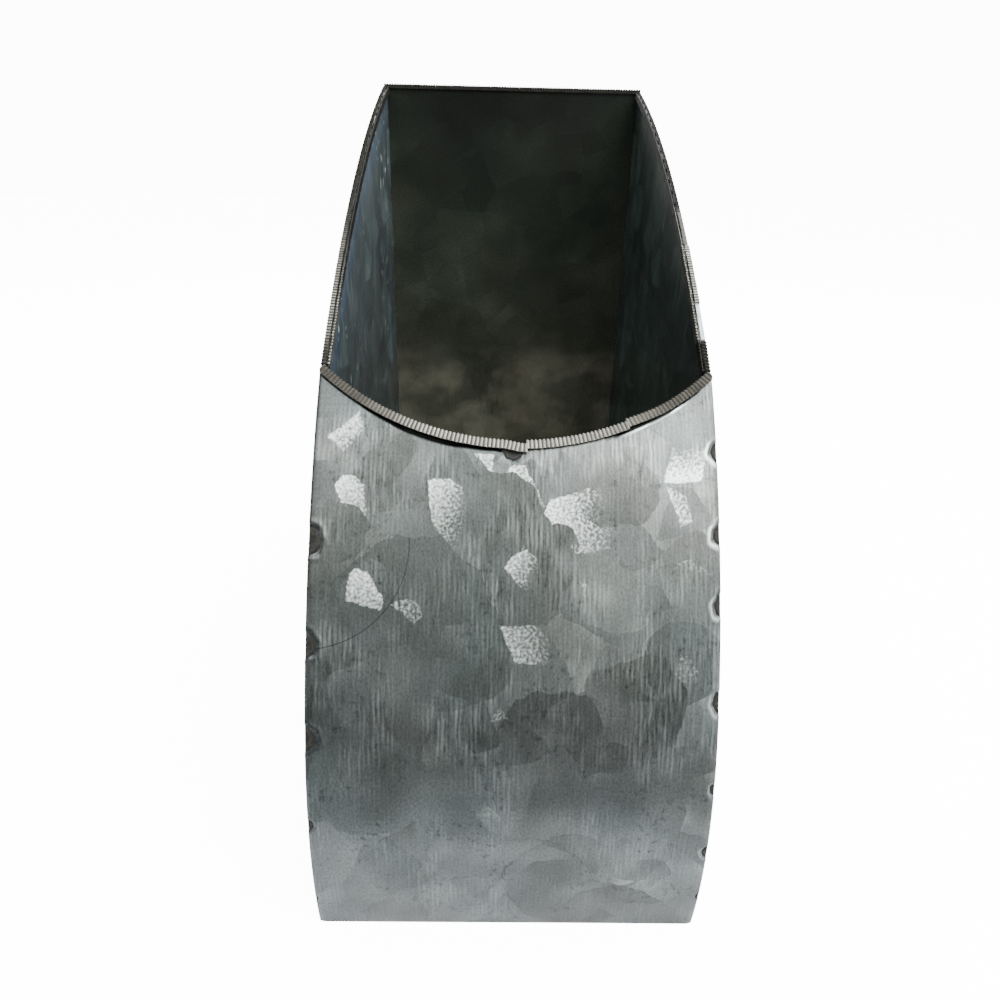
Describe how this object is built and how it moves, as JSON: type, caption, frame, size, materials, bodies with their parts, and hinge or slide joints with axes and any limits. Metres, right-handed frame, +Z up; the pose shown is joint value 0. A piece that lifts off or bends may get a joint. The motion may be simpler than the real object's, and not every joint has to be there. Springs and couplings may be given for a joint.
{
  "type": "utensil holder",
  "caption": "Narrow galvanised sheet-steel utensil holder: bulging spot-welded front with a scooped lip, flat sides rising to a high back, ribbed edging on the rim.",
  "frame": {"origin": "centre of the footprint, on the surface that the holder stands on", "axes": "+X to the right as seen from the front, +Y from the front to the high back, +Z up"},
  "size_m": [0.09, 0.1732, 0.1938],
  "materials": {
    "spangled_galvanised_sheet": "hot-dip zinc with large spangles, fine vertical rolling streaks, satin",
    "dull_galvanised_sheet": "the same sheet, duller and browner inside",
    "ribbed_edging": "thin rolled edging pressed with fine ribs, beige-grey, satin",
    "weld_scale": "burnt zinc and dark scale, rough"
  },
  "bodies": {
    "root": {"back_panel": "dull_galvanised_sheet", "back_rim_trim": "ribbed_edging", "base_panel": "dull_galvanised_sheet", "front_band": "spangled_galvanised_sheet", "left_back_weld_1": "weld_scale", "left_back_weld_2": "weld_scale", "left_back_weld_3": "weld_scale", "left_back_weld_4": "weld_scale", "left_back_weld_5": "weld_scale", "left_back_weld_6": "weld_scale", "left_base_weld_1": "weld_scale", "left_base_weld_2": "weld_scale", "left_base_weld_3": "weld_scale", "left_base_weld_4": "weld_scale", "left_base_weld_5": "weld_scale", "left_front_weld_1": "weld_scale", "left_front_weld_2": "weld_scale", "left_front_weld_3": "weld_scale", "left_front_weld_4": "weld_scale", "left_front_weld_5": "weld_scale", "left_rim_trim": "ribbed_edging", "left_side_plate": "spangled_galvanised_sheet", "lip_trim_left": "ribbed_edging", "lip_trim_middle": "ribbed_edging", "lip_trim_right": "ribbed_edging", "lip_weld": "weld_scale", "right_back_weld_1": "weld_scale", "right_back_weld_2": "weld_scale", "right_back_weld_3": "weld_scale", "right_back_weld_4": "weld_scale", "right_back_weld_5": "weld_scale", "right_back_weld_6": "weld_scale", "right_base_weld_1": "weld_scale", "right_base_weld_2": "weld_scale", "right_base_weld_3": "weld_scale", "right_base_weld_4": "weld_scale", "right_base_weld_5": "weld_scale", "right_front_weld_1": "weld_scale", "right_front_weld_2": "weld_scale", "right_front_weld_3": "weld_scale", "right_front_weld_4": "weld_scale", "right_front_weld_5": "weld_scale", "right_front_weld_6": "weld_scale", "right_front_weld_7": "weld_scale", "right_rim_trim_lower": "ribbed_edging", "right_rim_trim_upper": "ribbed_edging", "right_side_plate": "spangled_galvanised_sheet"}
  },
  "joints": []
}
